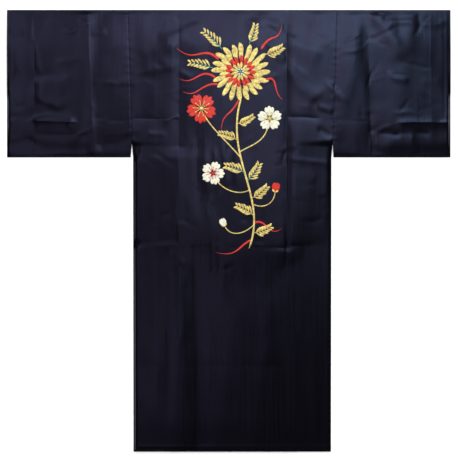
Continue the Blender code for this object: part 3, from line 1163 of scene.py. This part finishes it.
petals = {
    "spread": 0.12,        # unevenness of the turn between petals
    "reach": 0.06,         # unevenness of their length
    "bend": (0.10, 0.05),  # their bend and its unevenness
    "width": 0.1,          # unevenness of their width
}
chrysanthemumShape = {
    "rings": [
        # colour, inner end, outer end, half width, petals, lift, start
        ("gold", 0.46, 1.00, 0.094, 20, 0.0, 0.0),
        ("gold", 0.34, 0.76, 0.082, 18, 0.0005, 0.16),
        ("red", 0.20, 0.54, 0.066, 16, 0.0010, 0.05),
        ("gold", 0.08, 0.33, 0.050, 12, 0.0015, 0.2),
    ],
    "knots": (6, 0.085, 0.030, 0.0019),    # how many, distance from the middle, radius, lift
    "eye": (0.046, 0.0021),                # radius, lift
}
blossomShape = {
    "petals": 5,
    "fans": [
        # turn of the root, the middle and the tip, length, lift
        (-0.2, -0.36, -0.30, 0.93, 0.0),
        (0.0, 0.0, 0.0, 1.0, 0.0002),
        (0.2, 0.36, 0.30, 0.93, 0.0),
    ],
    "root": 0.16,
    "middle": 0.6,
    "width": 0.19,
    "stamens": 10,
    "stamenTurn": 0.3,
    "stamen": (0.08, 0.50, 0.08),          # inner end, outer end and its unevenness
    "stamenWidth": (0.018, 0.0002),        # share of the radius, and metres on top
    "anther": 0.045,
    "eye": 0.12,
    "lift": 0.0008,
    "eyeLift": 0.0009,
}
leafShape = {
    "bend": 0.25,
    "points": 9,           # on the vein
    "darts": 6,            # on each side of it
    "reach": (1.25, 0.10, 0.1),            # of the first dart, less for each next one, unevenness
    "dart": (0.8, 0.8, 1.5, 0.62),         # reach and turn of its middle and of its end
    "halfWidth": 0.0034,
    "vein": (0.0012, 0.0007),              # half width, lift
    "veinThrough": (3, 6),                 # points of the vein that it passes and ends at
    "tealFrom": 0.075,                     # leaves longer than this have a teal vein
}
budShape = {
    "petals": (-0.42, 0.42, 0.0),
    "petal": (0.55, 1.5, 0.4, 0.20),       # middle, share of the turn there and at the tip, half width
    "cup": (-0.9, 0.9),
    "cupLeaf": (0.42, 0.10),               # length, half width
    "lift": 0.0004,
}


def ringOfPetals(colour, centre, inner, outer, halfWidth, count, lift, start):
    # narrow petals round a centre, uneven in length and bent a little one way
    for number in range(count):
        turn = start + 2 * math.pi * (number + petals["spread"] * wobble(number)) / count
        reach = outer * (1.0 + petals["reach"] * wobble(number, 2.3))
        bend, uneven = petals["bend"]
        middle = polar(centre, (inner + reach) / 2, turn + bend + uneven * wobble(number, 1.7))
        controls = [polar(centre, inner, turn), middle, polar(centre, reach, turn)]
        width = halfWidth * (1.0 + petals["width"] * wobble(number, 3.1))
        patch(colour, controls, width, petalLike, lift)


def chrysanthemum(centre, radius):
    for colour, inner, outer, halfWidth, count, lift, start in chrysanthemumShape["rings"]:
        ends = (inner * radius, outer * radius)
        ringOfPetals(colour, centre, *ends, halfWidth * radius, count, lift, start)
    count, distance, size, lift = chrysanthemumShape["knots"]
    for number in range(count):
        turn = 2 * math.pi * number / count
        knot("white", polar(centre, distance * radius, turn), size * radius, lift)
    size, lift = chrysanthemumShape["eye"]
    knot("teal", centre, size * radius, lift)


def blossom(colour, centre, radius, start, accent):
    # broad petals, each of three fans of stitches, with stamens over them
    shape = blossomShape
    for number in range(shape["petals"]):
        turn = start + 2 * math.pi * number / shape["petals"]
        for rootTurn, middleTurn, tipTurn, length, lift in shape["fans"]:
            root = polar(centre, shape["root"] * radius, turn + rootTurn)
            middle = polar(centre, shape["middle"] * radius, turn + middleTurn)
            tip = polar(centre, length * radius, turn + tipTurn)
            patch(colour, [root, middle, tip], shape["width"] * radius, petalLike, lift)
    inner, outer, uneven = shape["stamen"]
    share, thick = shape["stamenWidth"]
    for number in range(shape["stamens"]):
        turn = start + shape["stamenTurn"] + 2 * math.pi * number / shape["stamens"]
        end = polar(centre, (outer + uneven * wobble(number)) * radius, turn)
        root = polar(centre, inner * radius, turn)
        patch(accent, [root, end], share * radius + thick, evenWidth, shape["lift"])
        knot(accent, end, shape["anther"] * radius, shape["lift"])
    knot(accent, centre, shape["eye"] * radius, shape["eyeLift"])


def leaf(start, turn, length, halfWidth):
    # a pointed leaf: darts of thread on both sides of a thin vein
    shape = leafShape
    tip = polar(start, length, turn)
    middle = polar(start, 0.5 * length, turn + shape["bend"])
    vein, direction = curvePoints([start, middle, tip], shape["points"])
    first, less, uneven = shape["reach"]
    middleReach, middleTurn, endReach, endTurn = shape["dart"]
    for side in (-1, 1):
        for number in range(1, shape["darts"] + 1):
            root = vein[number]
            ahead = math.atan2(direction[number][1], direction[number][0])
            reach = halfWidth * (first - less * number) * (1.0 + uneven * wobble(number + 7 * side))
            middle = polar(root, reach * middleReach, ahead + side * middleTurn)
            end = polar(root, reach * endReach, ahead + side * endTurn)
            patch("gold", [root, middle, end], shape["halfWidth"], petalLike)
    through, last = shape["veinThrough"]
    colour = "teal" if length > shape["tealFrom"] else "gold"
    width, lift = shape["vein"]
    patch(colour, [start, vein[through], vein[last]], width, tapering, lift)


def stem(controls, halfWidth):
    patch("gold", controls, halfWidth, evenWidth, stitch["sunk"])


def bud(colour, place, turn, size):
    reach, middleTurn, tipTurn, width = budShape["petal"]
    for fan in budShape["petals"]:
        middle = polar(place, reach * size, turn + middleTurn * fan)
        tip = polar(place, size, turn + tipTurn * fan)
        patch(colour, [place, middle, tip], width * size, petalLike, budShape["lift"] * (fan == 0.0))
    reach, width = budShape["cupLeaf"]
    for fan in budShape["cup"]:
        tip = polar(place, reach * size, turn + fan)
        patch("gold", [place, tip], width * size, petalLike, budShape["lift"])


spray = {
    "flower": (0.024, 0.186),
    "flowerRadius": 0.088,
    "stem": [(0.050, 0.716), (0.110, 0.560), (-0.030, 0.440), (0.028, 0.262)],
    "stemHalf": 0.0030,
    "twigs": [
        # place on the stem, control points after it, half width
        (0.62, [(-0.010, 0.400), (-0.060, 0.360), (-0.084, 0.316)], 0.0019),
        (0.66, [(0.050, 0.408), (0.096, 0.400), (0.106, 0.352)], 0.0019),
        (0.40, [(0.020, 0.560), (-0.030, 0.540), (-0.050, 0.508)], 0.0017),
        (0.30, [(0.096, 0.600), (0.126, 0.580), (0.128, 0.548)], 0.0016),
        (0.16, [(0.040, 0.672), (-0.004, 0.684), (-0.022, 0.650)], 0.0016),
    ],
    "stemLeaves": [
        # place on the stem, turn from the stem in degrees, length, half width
        (0.10, 58, 0.070, 0.014),
        (0.22, -60, 0.074, 0.014),
        (0.34, 62, 0.072, 0.014),
        (0.46, 48, 0.078, 0.015),
        (0.52, -58, 0.076, 0.015),
        (0.74, -66, 0.070, 0.013),
        (0.84, 60, 0.066, 0.012),
    ],
    "flowerLeaves": [
        # start, turn in degrees (0 to the right, 90 down), length, half width
        ((-0.030, 0.120), 222, 0.096, 0.016),
        ((-0.056, 0.176), 190, 0.092, 0.015),
        ((0.096, 0.136), -26, 0.072, 0.015),
        ((0.050, 0.104), 286, 0.076, 0.014),
    ],
    "streamers": [
        # control points, half width
        ([(-0.040, 0.150), (-0.090, 0.100), (-0.110, 0.170), (-0.170, 0.112)], 0.0046),
        ([(-0.048, 0.206), (-0.100, 0.165), (-0.110, 0.235), (-0.160, 0.206)], 0.0040),
        ([(-0.040, 0.224), (-0.096, 0.216), (-0.105, 0.272), (-0.150, 0.244)], 0.0036),
        ([(0.098, 0.212), (0.142, 0.190), (0.118, 0.250), (0.152, 0.270)], 0.0040),
        ([(0.086, 0.120), (0.118, 0.060), (0.138, 0.110), (0.150, 0.040)], 0.0040),
        ([(0.020, 0.270), (-0.010, 0.330), (-0.030, 0.300), (-0.034, 0.372)], 0.0034),
        ([(0.064, 0.640), (0.104, 0.620), (0.108, 0.690), (0.150, 0.654)], 0.0036),
        ([(0.056, 0.690), (0.010, 0.716), (0.016, 0.742), (-0.050, 0.728)], 0.0034),
    ],
    "blossoms": [
        # colour, centre, radius, turn in radians, colour of the stamens
        ("red", (-0.092, 0.296), 0.046, 0.4, "gold"),
        ("white", (0.112, 0.326), 0.038, 0.9, "gold"),
        ("white", (-0.058, 0.490), 0.036, 1.3, "red"),
    ],
    "buds": [
        # colour, place, turn in degrees, length
        ("red", (0.128, 0.548), -80, 0.030),
        ("white", (-0.022, 0.650), -115, 0.026),
    ],
}


def makeSpray():
    # a spray of flowers in traditional shapes, of this script's own drawing
    stem(spray["stem"], spray["stemHalf"])
    points, direction = curvePoints(spray["stem"], 101)     # a point for each hundredth of the stem
    for place, controls, halfWidth in spray["twigs"]:
        stem([points[round(100 * place)]] + controls, halfWidth)
    for place, turn, length, halfWidth in spray["stemLeaves"]:
        ahead = direction[round(100 * place)]
        turn = math.atan2(ahead[1], ahead[0]) + math.radians(turn)
        leaf(points[round(100 * place)], turn, length, halfWidth)
    for start, turn, length, halfWidth in spray["flowerLeaves"]:
        leaf(start, math.radians(turn), length, halfWidth)
    for controls, halfWidth in spray["streamers"]:
        patch("red", controls, halfWidth, tapering)
    chrysanthemum(spray["flower"], spray["flowerRadius"])
    for flower in spray["blossoms"]:
        blossom(*flower)
    for colour, place, turn, size in spray["buds"]:
        bud(colour, place, math.radians(turn), size)


def threadPiece(name, points, faces, threads, material):
    # a piece of thread; threads holds for each point where it lies across and along its stitches
    mesh = bpy.data.meshes.new(name)
    mesh.from_pydata(points.tolist(), [], faces)
    layFlat(mesh, "threads", threads)
    mesh.update()
    shape = bmesh.new()
    shape.from_mesh(mesh)
    bmesh.ops.recalc_face_normals(shape, faces=shape.faces)
    shape.to_mesh(mesh)
    shape.free()
    mesh.shade_smooth()
    mesh.materials.append(material)
    piece = addObject(name, mesh)
    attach(piece, "root")
    return piece


def onGarment(across, down, height):
    # points of the frame at places of the garment
    return np.stack([across + garment["middle"], garment["shoulder"] - down, height], axis=-1)


def joinPatches(name, patches, material):
    # all patches of one colour in one mesh, each closed underneath
    across, down, raised, beside, travel = (
        np.concatenate([grid[kind].ravel() for grid in patches]) for kind in range(5)
    )
    faces = []
    first = 0
    for grid in patches:
        rows, columns = grid[0].shape
        number = first + np.arange(rows * columns).reshape(rows, columns)
        for here, ahead in zip(number.tolist(), number[1:].tolist()):
            for column in range(columns - 1):
                faces.append((here[column], here[column + 1], ahead[column + 1], ahead[column]))
            faces.append((here[0], ahead[0], ahead[-1], here[-1]))
        faces.append(tuple(number[0, ::-1].tolist()))
        faces.append(tuple(number[-1].tolist()))
        first += rows * columns
    points = onGarment(across, down, backTop(across, down) + raised)
    return threadPiece(name, points, faces, np.stack([beside, travel], axis=1), material)


makeSpray()
for colour, patches in stitched.items():
    joinPatches("embroidery_" + colour, patches, threadMaterials[colour])
    print("embroidery in", colour, "has", len(patches), "patches")


# Sewing that shows: running stitches along the hem and beside the sewn part of the cuffs

sewing = {
    "stitch": 0.003,
    "pitch": 0.006,
    "radius": 0.00018,
    "hemUp": 0.0185,
    "hemIn": 0.014,        # from the side seams
    "cuffIn": 0.012,
    "cuffFrom": 0.262,
    "cuffTo": 0.432,
    "threadScale": 0.5,    # so that a sewing thread shows fewer filaments
}


def sewRow(across, down, ahead, top):
    # stitches centred at the given places of a surface: two sunk ends and four points round the middle
    reach = sewing["stitch"] / 2
    radius = sewing["radius"]
    corners = [
        (-reach, 0.0, -radius),
        (reach, 0.0, -radius),
        (0.0, -radius, 0.0),
        (0.0, 0.0, radius),
        (0.0, radius, 0.0),
        (0.0, 0.0, -radius),
    ]
    points = []
    for along, aside, rise in corners:
        x = across + along * ahead[0] - aside * ahead[1]
        y = down + along * ahead[1] + aside * ahead[0]
        points.append(onGarment(x, y, top(x, y) + rise))
    return np.stack(points, axis=1)


def makeStitches():
    half = garment["hemHalf"] - sewing["hemIn"]
    across = np.arange(-half, half, sewing["pitch"])
    rows = [sewRow(across, np.full(len(across), garment["length"] - sewing["hemUp"]), (1.0, 0.0), backTop)]
    down = np.arange(sewing["cuffFrom"], sewing["cuffTo"], sewing["pitch"])
    for piece in sleeves:
        reach = garment[piece["reach"]]
        place = np.full(len(down), piece["side"] * (reach - sewing["cuffIn"]))
        rows.append(sewRow(place, down, (0.0, 1.0), functools.partial(sleeveTop, reach=reach)))
    stitches = np.concatenate(rows)
    each = stitches.shape[1]
    middle = each - 2              # points round the middle of a stitch, after its two ends
    faces = []
    for first in range(0, each * len(stitches), each):
        for number in range(middle):
            here = first + 2 + number
            following = first + 2 + (number + 1) % middle
            faces.append((first, following, here))
            faces.append((first + 1, here, following))
    points = stitches.reshape(-1, 3)
    threads = points[:, :2] * sewing["threadScale"]
    return threadPiece("seam_stitches", points, faces, threads, threadMaterials["navy"])


makeStitches()
print("stitches made")


# Floor, lights and camera

studio = {
    "floorSize": 30.0,
    "floorDrop": 0.0002,
    "floorLook": {"Base Color": (0.86, 0.86, 0.86, 1.0), "Roughness": 0.9, "Specular IOR Level": 0.0},
    "sun": (24.0, 70.0),   # elevation and bearing in degrees
    "sunStrength": 1.2,
    "sunSpread": 20.0,
    "softboxes": [
        # place, aim, size across and along, power, colour
        ((-0.22, -0.52, 2.00), (-0.08, -0.10, 0.0), (0.20, 0.6), 0.88, (1.0, 0.88, 0.86)),
        ((-0.80, 0.13, 2.00), (-0.30, 0.10, 0.0), (0.25, 0.3), 0.8, (1.0, 0.88, 0.86)),
        ((0.25, 0.40, 2.00), (0.15, 0.20, 0.0), (0.5, 0.3), 1.2, (1.0, 0.95, 0.90)),
        ((-0.98, 0.65, 1.90), (-0.40, 0.30, 0.0), (0.4, 0.4), 1.1, (1.0, 0.92, 0.90)),
        ((-0.18, 0.53, 1.90), (-0.11, 0.30, 0.0), (0.36, 0.4), 0.58, (1.0, 0.92, 0.90)),
        ((0.30, 0.50, 1.90), (0.20, 0.20, 0.0), (0.5, 0.5), 0.66, (1.0, 0.98, 0.92)),
        ((0.84, 0.57, 1.90), (0.44, 0.30, 0.0), (0.40, 0.52), 0.48, (0.85, 1.0, 0.92)),
        ((-1.02, 1.15, 1.70), (-0.44, 0.30, 0.0), (0.5, 0.5), 2.1, (1.0, 0.95, 0.92)),
        ((-0.29, 1.15, 1.70), (-0.12, 0.30, 0.0), (0.4, 0.5), 3.3, (1.0, 0.97, 0.95)),
        ((0.22, 1.10, 1.75), (0.09, 0.30, 0.0), (0.44, 0.5), 4.7, (0.97, 1.0, 0.92)),
        ((0.66, 1.14, 1.70), (0.28, 0.30, 0.0), (0.36, 0.52), 5.2, (0.73, 1.0, 0.90)),
    ],
    "pixel": 0.003,        # metres of the surface in one pixel of the picture
    "picture": 458,
    "pictureCentre": (0.00075, 0.00525),
    "cameraHeight": 4.5,   # above the cloth
    "clothHeight": 0.003,
    "sensor": 36.0,
    "room": (0.98, 0.98, 0.98, 1.0),
}


def makeFloor():
    bpy.ops.mesh.primitive_plane_add(size=studio["floorSize"], location=(0.0, 0.0, -studio["floorDrop"]))
    floor = bpy.context.object
    floor.name = "floor"
    floor.data.materials.append(newMaterial("pale floor", studio["floorLook"])[0])


def addLight(name, kind, power, towards, place=(0.0, 0.0, 0.0)):
    # a light that shines from the direction towards
    light = bpy.data.lights.new(name, kind)
    light.energy = power
    lamp = addObject(name, light)
    lamp.location = place
    lamp.rotation_euler = towards.to_track_quat("Z", "Y").to_euler()
    return light


def makeLights():
    elevation, bearing = (math.radians(angle) for angle in studio["sun"])
    level = math.cos(elevation)
    towards = Vector((math.cos(bearing) * level, math.sin(bearing) * level, math.sin(elevation)))
    sun = addLight("sun", "SUN", studio["sunStrength"], towards)
    sun.angle = math.radians(studio["sunSpread"])
    for number, (place, aim, size, power, colour) in enumerate(studio["softboxes"]):
        box = addLight(f"softbox {number}", "AREA", power, Vector(place) - Vector(aim), place)
        box.shape = "RECTANGLE"
        box.size, box.size_y = size
        box.color = colour


def makeWorld():
    # an even white room that the satin doesn't mirror
    world = bpy.data.worlds.new("studio")
    world.use_nodes = True
    room = world.node_tree.nodes["Background"]
    room.inputs["Color"].default_value = studio["room"]
    room.inputs["Strength"].default_value = 1.0
    bpy.context.scene.world = world
    world.cycles_visibility.glossy = False


def makeCamera():
    camera = bpy.data.cameras.new("camera")
    camera.sensor_width = studio["sensor"]
    camera.lens = camera.sensor_width * studio["cameraHeight"] / (studio["picture"] * studio["pixel"])
    eye = addObject("camera", camera)
    eye.location = (*studio["pictureCentre"], studio["cameraHeight"] + studio["clothHeight"])
    bpy.context.scene.camera = eye


makeFloor()
makeLights()
makeWorld()
makeCamera()
bpy.context.scene.view_settings.view_transform = "Standard"
print("studio made")

bpy.context.view_layer.update()
